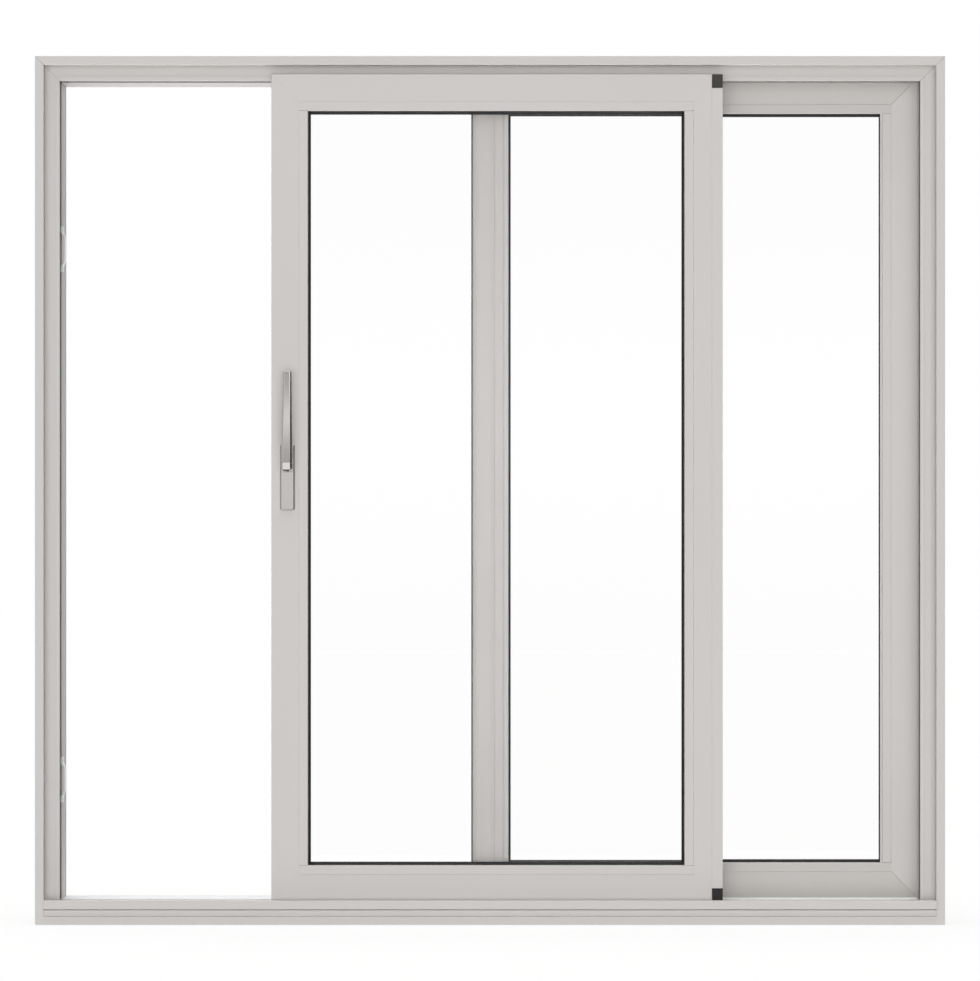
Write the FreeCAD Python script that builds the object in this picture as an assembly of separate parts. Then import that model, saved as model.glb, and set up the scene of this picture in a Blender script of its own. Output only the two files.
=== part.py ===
import FreeCAD, Part
import math
import os

# Glass sliding patio door: a wide fixed frame, one sliding sash and one fixed panel.
# Millimetres. X runs to the right seen from the room, Y runs outdoors and Z runs up.
# The origin is the middle of the sill's underside. Depths are counted outdoors from the
# front of the frame's rim, so the rim is at depth 0 and the back of the frame at FRAME_DEPTH.

# Outer frame
FRAME_WIDTH = 2200.0
FRAME_HEIGHT = 2100.0
FRAME_DEPTH = 200.0
RIM_FACE = 21.5            # width of the front rim that runs round the frame
RIM_EDGE = 1.5             # small bevel on the rim's inner edge
BAND_DEPTH = 30.0          # how far the band inside the rim is set back
LIP_START = 47.0           # where the stop lip begins, from the frame's outer edge
LIP_EDGE = 58.0            # where the stop lip ends
LIP_RISE = 3.0             # how far the lip stands in front of the band
LIP_THICK = 8.0
GUIDE_POCKET = 50.0        # bottom of the pocket behind the lip, from the outer edge
POCKET_END = 70.0          # depth at which that pocket ends
REVEAL_EDGE = 59.0         # plain inner wall behind the pocket, from the outer edge
JAMB_HOUSING = 2.3         # how far the fixed panel is let into the right jamb
MITRE_GROOVE = 0.5         # half width of the fine groove along a visible mitre
MITRE_DEEP = 0.7
FOOT_ROUND = 3.0           # rounding of the frame's two bottom corners

# Sill, threshold and track
SILL_RIM = 20.0
SILL_GROOVE = 0.8
SILL_GROOVE_DEPTH = 2.5
STRIP_SET_BACK = 2.0
STRIP_TOP = 35.5
SHADOW_GAP_DEPTH = 8.0
NOSING_BOTTOM = 39.0
NOSING_TOP = 60.0
NOSING_OUT = 14.0          # how far the nosing stands in front of the rim
NOSING_CLEARANCE = 7.0     # from the nosing's back to the front of the sash
NOSING_FOOT = 20.0         # depth at which the nosing's foot ends
NOSING_BEVEL = 1.5
CHANNEL_FLOOR = 48.0
TREAD_CLEARANCE = 7.0      # from the back of the sash to the tread's front edge
TREAD_TOP = 55.5
TREAD_THICK = 3.0
RAIL_INSET = 40.0          # from the front of the sash to the middle of the rail
RAIL_FOOT = 24.0
RAIL_FOOT_THICK = 2.0
RAIL_WEB = 3.0
RAIL_HEAD_RADIUS = 3.0
RAIL_HEIGHT = 8.5

# Head guide
GUIDE_INSET = 49.0         # from the front of the sash to the middle of the guide
GUIDE_OUTSIDE = 22.0
GUIDE_WALL = 2.0
GUIDE_HEIGHT = 7.0

# Shared section of the glazed panels
PANEL_FACE = 88.5          # visible width of a stile or rail, bead included
BEAD_FACE = 22.5
BEAD_PROUD = 0.8           # how far a bead stands in front of stile and rail
BEAD_EDGE = 1.6            # bevel at the glass side of a bead
JOINT_GROOVE = 0.6         # bevel on both sides of a fine groove
PANE_THICK = 4.0
PANE_SPACE = 16.0
GLASS_BITE = 14.5          # how far the glass reaches in behind the bead
GASKET_SHOWS = 5.5         # black edge seen between bead and clear glass
GASKET_LIP = 1.2           # thickness of the gasket's lip up the bead's inner side
GASKET_TOE = 0.8           # thickness of its edge on the glass
SPACER_WIDTH = 8.0
SPACER_BEHIND = 0.5        # how far the spacer keeps behind the gasket's edge

# Sliding sash
SASH_FRONT = 2.0           # depth of its front face
SASH_THICK = 76.0
FLANGE_THICK = 20.0
FLANGE_LAP = 32.0          # how far the front flange stands past the body behind it
SASH_BEAD_THICK = 26.0
SASH_GASKET_THICK = 3.0
LAP_TOP = 14.0             # overlap of the sash on the head's lip
LAP_CLOSED = 14.0          # overlap on the left jamb's lip when shut
SASH_OPENED = 527.5        # how far open the photograph shows it
SASH_CLEARANCE = 7.5       # from the channel's floor to the bottom of the sash
FIN_OUT = 7.0              # interlock fin on the back of the right stile
FIN_THICK = 6.0

# Interlock cover on the sash's right edge
COVER_FACE = 26.0
COVER_PROUD = 1.2
COVER_SIDE = 4.0
CAP_PROUD = 0.6
CAP_LENGTH = 33.0

# Fixed panel
PANEL_GAP = 16.0           # from the back of the sash to the front of the fixed panel
FIXED_THICK = 56.0
FIXED_BEAD_THICK = 16.0
FIXED_GASKET_THICK = 2.0
MEETING_FACE = 90.5        # visible width of its left stile
MEETING_OVERLAP = 76.7     # overlap of the shut sash on that stile
MEETING_SEAL = 4.0
SEAL_OUT = 10.5
HOOK_PROUD = 2.0           # how far the interlock on that stile stands in front of it
HOOK_STEP = 1.2            # the set-back of its left shoulder
HOOK_LINE = 12.7           # from the stile's left edge to the line between shoulder and slope
HOOK_FLAT = (20.7, 44.7)   # its flat middle
HOOK_END = 54.0            # where its rounded right shoulder ends
HOOK_JOINT = 57.0          # the fine groove between interlock and stile
COVE = (8.7, 19.7)         # hollow in the bead beside it, from that bead's joint
COVE_DEEP = 2.5
HOOD = 4.5                 # how far the right bead's hood reaches over its gasket
HOOD_STEP = 1.5            # how far it is set back, behind a fine groove
HOOD_THICK = 2.5

# Running gear
WHEEL_RADIUS = 11.0        # at the bottom of the wheel's groove
WHEEL_FLANGE = 1.5
WHEEL_GROOVE = 7.2
WHEEL_WIDTH = 11.0
WHEEL_PITCH = 74.0
WHEEL_GAP = 0.3
AXLE_RADIUS = 3.0
CARRIAGE_LENGTH = 130.0
CARRIAGE_WIDTH = 18.0
CARRIAGE_WALL = 3.0
CARRIAGE_INSET = 150.0     # from the end of the sash body to the middle of a carriage
CARRIAGE_CLEARANCE = 4.5   # from the rail's top to the housing
SHOE_LENGTH = 60.0
SHOE_WIDTH = 14.0
SHOE_CLEARANCE = 1.5
SHOE_INSET = 120.0

# Lock side
KEEP_LOW_INSET = 293.0     # from the bottom of the sash to the middle of the lower keep
KEEP_HIGH_INSET = 420.5    # from its top to the middle of the upper keep
KEEP_LENGTH = 110.0
KEEP_TAB = 15.0
KEEP_RAMP = 9.5
KEEP_STRIP = 4.5
KEEP_TAB_STANDS = 14.2     # inner face of a tab above the pocket's bottom
KEEP_RISE = 4.9
KEEP_CLEARANCE = 1.0       # from the pocket's two walls
KEEP_PAD_INSET = 6.0
FACEPLATE_WIDTH = 16.0
FACEPLATE_THICK = 3.0
FACEPLATE_END = 250.0      # from the ends of the sash to the ends of the faceplate
LOCK_SLOT = 44.0           # length of the slots for the lock's hooks
LOCK_SLOT_WIDTH = 7.0

# Handle
HANDLE_INSET = 39.0        # from the edge of the sash to the handle's centre line
PLATE_WIDTH = 35.0
PLATE_BELOW = 107.0        # from the pivot down to the plate's end
PLATE_ABOVE = 53.0
PLATE_THICK = 10.0
PLATE_CORNER = 5.0
PLATE_BEVEL = 3.0
PIVOT_HEIGHT = 1109.0
NECK_RADIUS = 9.0
NECK_CLEARANCE = 0.08
NECK_SEAT = 1.0
BOSS_RADIUS = 14.5         # round boss between plate and lever
BOSS_CLEARANCE = 0.5       # from the plate
BOSS_SEAT = 6.0            # how far the boss runs into the lever's foot
LEVER_BELOW = 14.0
LEVER_LENGTH = 243.0
LEVER_TOP_WIDTH = 21.0
LEVER_BOTTOM_WIDTH = 27.0
LEVER_LEAN = 0.8           # how far its top stands to the right of the pivot
LEVER_FOOT_ROUND = 5.5
LEVER_TOP_ROUND = 2.0
LEVER_OUT = 46.0           # front of the lever in front of the sash face
LEVER_THICK = 9.0
LEVER_BOW = 5.5            # how far its middle stands in front of its ends
LEVER_FOOT_HEIGHT = 22.0   # the slanted pad at its foot
LEVER_FOOT_SLANT = 10.0
LEVER_ELBOW = 7.0          # inner radius where the foot meets the grip
LEVER_GAP = 5.0            # from the plate to the lever's foot
LEVER_BEVEL = 3.2

# Worked out from the sizes above
HALF_WIDTH = FRAME_WIDTH / 2
LIP_Z = FRAME_HEIGHT - LIP_EDGE
SASH_TOP = LIP_Z + LAP_TOP
SASH_BOTTOM = CHANNEL_FLOOR + SASH_CLEARANCE
SASH_HEIGHT = SASH_TOP - SASH_BOTTOM
SASH_BACK = SASH_FRONT + SASH_THICK
FIXED_FRONT = SASH_BACK + PANEL_GAP
FIXED_BACK = FIXED_FRONT + FIXED_THICK
FIXED_RIGHT = HALF_WIDTH - REVEAL_EDGE + JAMB_HOUSING
CLOSED_LEFT = LIP_EDGE - HALF_WIDTH - LAP_CLOSED
# Both panels have the same clear width between their beads
SIGHT_WIDTH = (FIXED_RIGHT - CLOSED_LEFT + MEETING_OVERLAP - 3 * PANEL_FACE - MEETING_FACE) / 2
SASH_LEFT = CLOSED_LEFT + SASH_OPENED
SASH_RIGHT = SASH_LEFT + SIGHT_WIDTH + 2 * PANEL_FACE
FIXED_SIGHT_RIGHT = FIXED_RIGHT - PANEL_FACE
FIXED_SIGHT_LEFT = FIXED_SIGHT_RIGHT - SIGHT_WIDTH
FIXED_LEFT = FIXED_SIGHT_LEFT - MEETING_FACE
FIXED_BOTTOM = TREAD_TOP
FIXED_TOP = FIXED_BOTTOM + SASH_HEIGHT
BEAD_START = PANEL_FACE - BEAD_FACE
UNIT_THICK = 2 * PANE_THICK + PANE_SPACE
POCKET_START = BAND_DEPTH - LIP_RISE + LIP_THICK
RAIL_CENTRE = SASH_FRONT + RAIL_INSET
RAIL_TOP = CHANNEL_FLOOR + RAIL_HEIGHT
GUIDE_CENTRE = SASH_FRONT + GUIDE_INSET
TREAD_FRONT = SASH_BACK + TREAD_CLEARANCE
CARRIAGE_BOTTOM = RAIL_TOP + CARRIAGE_CLEARANCE
HANDLE_X = SASH_LEFT + HANDLE_INSET
LEVER_BOTTOM = PIVOT_HEIGHT - LEVER_BELOW
LEVER_TOP = LEVER_BOTTOM + LEVER_LENGTH


TOLERANCE = 1e-4


def y_at(depth):
    return depth - FRAME_DEPTH / 2


def solid_of(outline, place, travel):
    """Solid swept straight along travel from an outline of points. An entry that holds two
    points is an arc, through the first to the second. place turns a point into a vector."""
    edges = []
    start = place(*corners_of(outline)[-1])
    for entry in outline:
        if isinstance(entry[0], tuple):
            middle, end = (place(*point) for point in entry)
            edges.append(Part.Arc(start, middle, end).toShape())
        else:
            end = place(*entry)
            edges.append(Part.makeLine(start, end))
        start = end
    return Part.Face(Part.Wire(edges)).extrude(travel)


def corners_of(outline):
    """The points at which the lines and arcs of an outline end."""
    return [entry[-1] if isinstance(entry[0], tuple) else entry for entry in outline]


def along_x(depth_height, x_from, x_to):
    """Solid with a section of (depth, height) points, running from x_from to x_to."""
    return solid_of(depth_height, lambda depth, z: FreeCAD.Vector(x_from, y_at(depth), z),
                    FreeCAD.Vector(x_to - x_from, 0, 0))


def along_y(x_height, depth_from, depth_to):
    """Solid with an outline of (x, height) points, running from one depth to another."""
    return solid_of(x_height, lambda x, z: FreeCAD.Vector(x, y_at(depth_from), z),
                    FreeCAD.Vector(0, depth_to - depth_from, 0))


def along_z(x_depth, z_from, z_to):
    """Solid with a section of (x, depth) points, running from z_from to z_to."""
    return solid_of(x_depth, lambda x, depth: FreeCAD.Vector(x, y_at(depth), z_from),
                    FreeCAD.Vector(0, 0, z_to - z_from))


def block(x_from, x_to, depth_from, depth_to, z_from, z_to):
    return Part.makeBox(x_to - x_from, depth_to - depth_from, z_to - z_from,
                        FreeCAD.Vector(x_from, y_at(depth_from), z_from))


def save(shape, name):
    shape.exportStep(os.path.join("parts", name + ".step"))


def member(section, side, ring, mitre_low=True, mitre_high=True, grooved=False):
    """One side of a rectangular ring (left, bottom, right, top) from a section of
    (inset, depth) points. Its low and high ends are mitred or square. A grooved one has
    a fine groove along its mitres, where its skin stops short of its neighbour's."""
    left, bottom, right, top = ring
    reach = max(inset for inset, depth in corners_of(section))
    low = reach if mitre_low else 0.0
    high = reach if mitre_high else 0.0
    upright = side in ("left", "right")
    if upright:
        edge, turn = (left, 1) if side == "left" else (right, -1)
        start, stop = bottom, top
        bar = solid_of(section, lambda inset, depth: FreeCAD.Vector(edge + turn * inset, y_at(depth), start),
                       FreeCAD.Vector(0, 0, stop - start))
    else:
        edge, turn = (bottom, 1) if side == "bottom" else (top, -1)
        start, stop = left, right
        bar = solid_of(section, lambda inset, depth: FreeCAD.Vector(start, y_at(depth), edge + turn * inset),
                       FreeCAD.Vector(stop - start, 0, 0))

    def blank(trim_low, trim_high):
        run = [(start + trim_low, edge), (start + low + trim_low, edge + turn * reach),
               (stop - high - trim_high, edge + turn * reach), (stop - trim_high, edge)]
        return along_y([(across, along) if upright else (along, across) for along, across in run],
                       -FRAME_DEPTH, 2 * FRAME_DEPTH)

    if not grooved:
        return bar.common(blank(0, 0))
    core = bar.makeOffsetShape(-MITRE_DEEP, TOLERANCE, join=2).common(blank(0, 0))
    skin = bar.common(blank(MITRE_GROOVE if mitre_low else 0, MITRE_GROOVE if mitre_high else 0))
    return skin.fuse(core).removeSplitter()


def flat_ring(ring, width, depth_from, depth_to):
    """Thin rectangular ring lying in the plane of the glass."""
    left, bottom, right, top = ring
    outside = block(left, right, depth_from, depth_to, bottom, top)
    return outside.cut(block(left + width, right - width, depth_from - 1, depth_to + 1,
                             bottom + width, top - width))


# Outer frame: jambs and head share one stepped section, mitred at the top corners
def frame_section(panel_pocket):
    """Section of a jamb or the head. panel_pocket is how far the fixed panel is let in."""
    section = [
        (0, 0), (RIM_FACE - RIM_EDGE, 0), (RIM_FACE, RIM_EDGE), (RIM_FACE, BAND_DEPTH),
        (LIP_START, BAND_DEPTH), (LIP_START, BAND_DEPTH - LIP_RISE),
        (LIP_EDGE - RIM_EDGE, BAND_DEPTH - LIP_RISE), (LIP_EDGE, BAND_DEPTH - LIP_RISE + RIM_EDGE),
        (LIP_EDGE, POCKET_START), (GUIDE_POCKET, POCKET_START),
        (GUIDE_POCKET, POCKET_END), (REVEAL_EDGE, POCKET_END),
    ]
    if panel_pocket > 0:
        section += [
            (REVEAL_EDGE, FIXED_FRONT), (REVEAL_EDGE - panel_pocket, FIXED_FRONT),
            (REVEAL_EDGE - panel_pocket, FIXED_BACK), (REVEAL_EDGE, FIXED_BACK),
        ]
    return section + [(REVEAL_EDGE, FRAME_DEPTH), (0, FRAME_DEPTH)]


def build_outer_frame():
    ring = (-HALF_WIDTH, SILL_RIM, HALF_WIDTH, FRAME_HEIGHT)
    head_pocket = FIXED_TOP - (FRAME_HEIGHT - REVEAL_EDGE)
    jamb_left = member(frame_section(0), "left", ring, mitre_low=False, grooved=True)
    jamb_right = member(frame_section(JAMB_HOUSING), "right", ring, mitre_low=False, grooved=True)
    head = member(frame_section(head_pocket), "top", ring, grooved=True)
    save(jamb_left, "jamb_left")
    save(jamb_right, "jamb_right")
    save(head, "head")

    section = [
        (0, 0), (FRAME_DEPTH, 0), (FRAME_DEPTH, TREAD_TOP - TREAD_THICK),
        (TREAD_FRONT, TREAD_TOP - TREAD_THICK), (TREAD_FRONT, CHANNEL_FLOOR),
        (NOSING_FOOT, CHANNEL_FLOOR), (NOSING_FOOT, NOSING_BOTTOM),
        (SHADOW_GAP_DEPTH, NOSING_BOTTOM), (SHADOW_GAP_DEPTH, STRIP_TOP),
        (STRIP_SET_BACK, STRIP_TOP), (STRIP_SET_BACK, SILL_RIM + SILL_GROOVE),
        (SILL_GROOVE_DEPTH, SILL_RIM + SILL_GROOVE), (SILL_GROOVE_DEPTH, SILL_RIM), (0, SILL_RIM),
    ]
    sill = along_x(section, -HALF_WIDTH, HALF_WIDTH).cut(jamb_left).cut(jamb_right)
    feet = [edge for edge in sill.Edges if edge.BoundBox.ZMax < TOLERANCE and edge.BoundBox.XLength < 1]
    save(sill.makeFillet(FOOT_ROUND, feet), "sill")

    # A filler closes the head's pocket over the doorway, where no fixed panel stands in it
    reveal_z = FRAME_HEIGHT - REVEAL_EDGE
    save(block(REVEAL_EDGE - HALF_WIDTH, FIXED_LEFT, FIXED_FRONT, FIXED_BACK,
               reveal_z, reveal_z + head_pocket), "head_filler")


def build_threshold():
    between_rims = HALF_WIDTH - RIM_FACE
    back = SASH_FRONT - NOSING_CLEARANCE
    nosing = [
        (-NOSING_OUT, NOSING_BOTTOM), (-NOSING_OUT, NOSING_TOP - NOSING_BEVEL),
        (NOSING_BEVEL - NOSING_OUT, NOSING_TOP), (back, NOSING_TOP), (back, CHANNEL_FLOOR),
        (NOSING_FOOT, CHANNEL_FLOOR), (NOSING_FOOT, NOSING_BOTTOM),
    ]
    save(along_x(nosing, -between_rims, between_rims), "threshold_nosing")

    between_reveals = HALF_WIDTH - REVEAL_EDGE
    save(block(-between_reveals, between_reveals, TREAD_FRONT, FRAME_DEPTH,
               TREAD_TOP - TREAD_THICK, TREAD_TOP), "threshold_tread")

    foot_top = CHANNEL_FLOOR + RAIL_FOOT_THICK
    shoulder = RAIL_TOP - RAIL_HEAD_RADIUS
    web = [
        (RAIL_CENTRE - RAIL_FOOT / 2, CHANNEL_FLOOR), (RAIL_CENTRE + RAIL_FOOT / 2, CHANNEL_FLOOR),
        (RAIL_CENTRE + RAIL_FOOT / 2, foot_top), (RAIL_CENTRE + RAIL_WEB / 2, foot_top),
        (RAIL_CENTRE + RAIL_WEB / 2, shoulder), (RAIL_CENTRE - RAIL_WEB / 2, shoulder),
        (RAIL_CENTRE - RAIL_WEB / 2, foot_top), (RAIL_CENTRE - RAIL_FOOT / 2, foot_top),
    ]
    rail = along_x(web, -between_reveals, between_reveals)
    head = Part.makeCylinder(RAIL_HEAD_RADIUS, 2 * between_reveals,
                             FreeCAD.Vector(-between_reveals, y_at(RAIL_CENTRE), shoulder),
                             FreeCAD.Vector(1, 0, 0))
    save(rail.fuse(head).removeSplitter(), "track_rail")

    roof = FRAME_HEIGHT - GUIDE_POCKET
    half, inner = GUIDE_OUTSIDE / 2, GUIDE_OUTSIDE / 2 - GUIDE_WALL
    guide = [
        (GUIDE_CENTRE - half, roof), (GUIDE_CENTRE - half, roof - GUIDE_HEIGHT),
        (GUIDE_CENTRE - inner, roof - GUIDE_HEIGHT), (GUIDE_CENTRE - inner, roof - GUIDE_WALL),
        (GUIDE_CENTRE + inner, roof - GUIDE_WALL), (GUIDE_CENTRE + inner, roof - GUIDE_HEIGHT),
        (GUIDE_CENTRE + half, roof - GUIDE_HEIGHT), (GUIDE_CENTRE + half, roof),
    ]
    save(along_x(guide, -between_reveals, between_reveals), "head_guide")


# Glazing: beads, gaskets, panes and spacer are the same in both panels
def build_glazing(prefix, sight, front, bead_thick, gasket_thick, left_bead=None, right_bead=None):
    """Bead sections hold (inset, depth) points. Those of the left and right one may differ."""
    left, bottom, right, top = sight
    back = front + bead_thick
    proud = front - BEAD_PROUD
    bead = [
        (0, front), (BEAD_PROUD, proud), (BEAD_FACE - BEAD_EDGE, proud),
        (BEAD_FACE, proud + BEAD_EDGE), (BEAD_FACE, back), (0, back),
    ]
    ring = (left - BEAD_FACE, bottom - BEAD_FACE, right + BEAD_FACE, top + BEAD_FACE)
    save(member(bead, "bottom", ring, False, False), prefix + "_bead_bottom")
    save(member(bead, "top", ring, False, False), prefix + "_bead_top")
    upright = (ring[0], bottom, ring[2], top)
    save(member(left_bead or bead, "left", upright, False, False), prefix + "_bead_left")
    save(member(right_bead or bead, "right", upright, False, False), prefix + "_bead_right")

    glass_front = back + gasket_thick
    glass_back = glass_front + UNIT_THICK
    edge = (left - GLASS_BITE, bottom - GLASS_BITE, right + GLASS_BITE, top + GLASS_BITE)
    seal_width = GLASS_BITE + GASKET_SHOWS
    lip_front = front + (HOOD_STEP + HOOD_THICK if right_bead else BEAD_EDGE)
    lip_face = GLASS_BITE + GASKET_LIP
    lipped = [
        (0, back), (GLASS_BITE, back), (GLASS_BITE, lip_front), (lip_face, lip_front + GASKET_LIP),
        (lip_face, back - GASKET_LIP), (seal_width, glass_front - GASKET_TOE),
        (seal_width, glass_front), (0, glass_front),
    ]
    sides = [member(lipped, side, edge) for side in ("left", "bottom", "right", "top")]
    front_ring = sides[0].fuse(sides[1:]).removeSplitter()
    back_ring = flat_ring(edge, seal_width, glass_back, glass_back + gasket_thick)
    save(Part.makeCompound([front_ring, back_ring]), prefix + "_gaskets")
    save(block(edge[0], edge[2], glass_front, glass_front + PANE_THICK, edge[1], edge[3]),
         prefix + "_glass_inner")
    save(block(edge[0], edge[2], glass_back - PANE_THICK, glass_back, edge[1], edge[3]),
         prefix + "_glass_outer")
    spacer_inset = seal_width - SPACER_WIDTH - SPACER_BEHIND
    spacer_ring = (edge[0] + spacer_inset, edge[1] + spacer_inset,
                   edge[2] - spacer_inset, edge[3] - spacer_inset)
    save(flat_ring(spacer_ring, SPACER_WIDTH, glass_front + PANE_THICK, glass_back - PANE_THICK),
         prefix + "_spacer")


def panel_section(front, back, glazing_back, flange_lap=0.0, flange_back=0.0):
    """Stile or rail with a rebate for glass and bead, and a front flange if it has one."""
    section = [
        (0, front), (BEAD_START, front), (BEAD_START, glazing_back), (PANEL_FACE, glazing_back),
        (PANEL_FACE, back),
    ]
    if flange_lap > 0:
        return section + [(flange_lap, back), (flange_lap, flange_back), (0, flange_back)]
    return section + [(0, back)]


def build_sash():
    ring = (SASH_LEFT, SASH_BOTTOM, SASH_RIGHT, SASH_TOP)
    glazing_back = SASH_FRONT + SASH_BEAD_THICK + 2 * SASH_GASKET_THICK + UNIT_THICK
    section = panel_section(SASH_FRONT, SASH_BACK, glazing_back, FLANGE_LAP, SASH_FRONT + FLANGE_THICK)
    stile_left = member(section, "left", ring)
    stile_right = member(section, "right", ring)
    body_left = SASH_LEFT + FLANGE_LAP
    body_right = SASH_RIGHT - FLANGE_LAP

    # The lock's faceplate lies flush in a groove down the closing edge
    groove_front = GUIDE_CENTRE - FACEPLATE_WIDTH / 2
    faceplate = block(body_left, body_left + FACEPLATE_THICK, groove_front, groove_front + FACEPLATE_WIDTH,
                      SASH_BOTTOM + FACEPLATE_END, SASH_TOP - FACEPLATE_END)
    stile_left = stile_left.cut(faceplate)
    slot_front = GUIDE_CENTRE - LOCK_SLOT_WIDTH / 2
    for height in (SASH_BOTTOM + KEEP_LOW_INSET, PIVOT_HEIGHT, SASH_TOP - KEEP_HIGH_INSET):
        faceplate = faceplate.cut(block(body_left, body_left + FACEPLATE_THICK, slot_front,
                                        slot_front + LOCK_SLOT_WIDTH, height - LOCK_SLOT / 2,
                                        height + LOCK_SLOT / 2))
    fin = block(body_right - FIN_THICK, body_right, SASH_BACK, SASH_BACK + FIN_OUT,
                SASH_BOTTOM + FLANGE_LAP, SASH_TOP - FLANGE_LAP)
    save(stile_left, "sash_stile_left")
    save(stile_right.fuse(fin).removeSplitter(), "sash_stile_right")
    save(member(section, "bottom", ring), "sash_rail_bottom")
    save(member(section, "top", ring), "sash_rail_top")
    save(faceplate, "lock_faceplate")

    sight = (SASH_LEFT + PANEL_FACE, SASH_BOTTOM + PANEL_FACE,
             SASH_RIGHT - PANEL_FACE, SASH_TOP - PANEL_FACE)
    build_glazing("sash", sight, SASH_FRONT, SASH_BEAD_THICK, SASH_GASKET_THICK)


def build_interlock_cover():
    outside = SASH_RIGHT + COVER_SIDE
    side_back = SASH_FRONT + FLANGE_THICK
    inside = outside - COVER_FACE

    def strip(proud):
        return [
            (inside, SASH_FRONT - proud), (outside, SASH_FRONT - proud), (outside, side_back),
            (SASH_RIGHT, side_back), (SASH_RIGHT, SASH_FRONT), (inside, SASH_FRONT),
        ]

    cap_low = SASH_BOTTOM + CAP_LENGTH
    cap_high = SASH_TOP - CAP_LENGTH
    cap_proud = COVER_PROUD + CAP_PROUD
    save(along_z(strip(COVER_PROUD), cap_low, cap_high), "interlock_cover")
    save(along_z(strip(cap_proud), SASH_BOTTOM, cap_low), "interlock_cap_bottom")
    save(along_z(strip(cap_proud), cap_high, SASH_TOP), "interlock_cap_top")


def build_fixed_panel():
    ring = (FIXED_LEFT, FIXED_BOTTOM, FIXED_RIGHT, FIXED_TOP)
    glazing_back = FIXED_FRONT + FIXED_BEAD_THICK + 2 * FIXED_GASKET_THICK + UNIT_THICK
    section = panel_section(FIXED_FRONT, FIXED_BACK, glazing_back)
    rails = (FIXED_SIGHT_LEFT - BEAD_FACE, FIXED_BOTTOM, FIXED_RIGHT, FIXED_TOP)
    save(member(section, "right", ring, grooved=True), "fixed_stile_right")
    save(member(section, "bottom", rails, mitre_low=False, grooved=True), "fixed_rail_bottom")
    save(member(section, "top", rails, mitre_low=False, grooved=True), "fixed_rail_top")

    # The meeting stile runs full height with its interlock in front, and the rails butt against it
    face_end = FIXED_SIGHT_LEFT - BEAD_FACE
    hook_front = FIXED_FRONT - HOOK_PROUD
    shoulder = (HOOK_FLAT[1] + HOOK_END) / 2
    stile = [
        (FIXED_LEFT, FIXED_FRONT + MEETING_SEAL), (FIXED_LEFT + MEETING_SEAL, FIXED_FRONT + MEETING_SEAL),
        (FIXED_LEFT + MEETING_SEAL, hook_front + HOOK_STEP),
        (FIXED_LEFT + HOOK_LINE, hook_front + HOOK_STEP),
        (FIXED_LEFT + HOOK_LINE, hook_front + HOOK_STEP + JOINT_GROOVE),
        (FIXED_LEFT + HOOK_LINE + JOINT_GROOVE, hook_front + HOOK_STEP),
        (FIXED_LEFT + HOOK_FLAT[0], hook_front), (FIXED_LEFT + HOOK_FLAT[1], hook_front),
        ((FIXED_LEFT + shoulder, hook_front + HOOK_PROUD / 4), (FIXED_LEFT + HOOK_END, FIXED_FRONT)),
        (FIXED_LEFT + HOOK_JOINT - JOINT_GROOVE, FIXED_FRONT),
        (FIXED_LEFT + HOOK_JOINT, FIXED_FRONT + 2 * JOINT_GROOVE),
        (FIXED_LEFT + HOOK_JOINT + JOINT_GROOVE, FIXED_FRONT),
        (face_end, FIXED_FRONT), (face_end, FIXED_BACK), (FIXED_LEFT, FIXED_BACK),
    ]
    back_leg = block(face_end, FIXED_SIGHT_LEFT, glazing_back, FIXED_BACK,
                     FIXED_BOTTOM + PANEL_FACE, FIXED_TOP - PANEL_FACE)
    upright = along_z(stile, FIXED_BOTTOM, FIXED_TOP).fuse(back_leg)
    reveal_z = FRAME_HEIGHT - REVEAL_EDGE
    let_in = block(FIXED_LEFT, face_end, hook_front, FIXED_FRONT, reveal_z, FIXED_TOP)
    save(upright.cut(let_in).removeSplitter(), "fixed_stile_left")
    save(block(FIXED_LEFT, FIXED_LEFT + MEETING_SEAL, FIXED_FRONT + MEETING_SEAL - SEAL_OUT,
               FIXED_FRONT + MEETING_SEAL, FIXED_BOTTOM, reveal_z), "meeting_seal")

    sight = (FIXED_SIGHT_LEFT, FIXED_BOTTOM + PANEL_FACE, FIXED_SIGHT_RIGHT, FIXED_TOP - PANEL_FACE)
    bead_back = FIXED_FRONT + FIXED_BEAD_THICK
    coved_bead = [
        (0, FIXED_FRONT), (COVE[0], FIXED_FRONT),
        ((sum(COVE) / 2, FIXED_FRONT + COVE_DEEP), (COVE[1], FIXED_FRONT + COVE_DEEP / 2)),
        (BEAD_FACE, FIXED_FRONT + BEAD_EDGE), (BEAD_FACE, bead_back), (0, bead_back),
    ]
    hood_end, hood_front = BEAD_FACE + HOOD, FIXED_FRONT + HOOD_STEP
    hooded_bead = [
        (0, FIXED_FRONT), (BEAD_PROUD, FIXED_FRONT - BEAD_PROUD),
        (BEAD_FACE - BEAD_EDGE, FIXED_FRONT - BEAD_PROUD),
        (BEAD_FACE, hood_front + JOINT_GROOVE), (BEAD_FACE + JOINT_GROOVE, hood_front),
        (hood_end - JOINT_GROOVE, hood_front), (hood_end, hood_front + JOINT_GROOVE),
        (hood_end, hood_front + HOOD_THICK), (BEAD_FACE, hood_front + HOOD_THICK),
        (BEAD_FACE, bead_back), (0, bead_back),
    ]
    build_glazing("fixed", sight, FIXED_FRONT, FIXED_BEAD_THICK, FIXED_GASKET_THICK, coved_bead, hooded_bead)


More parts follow.
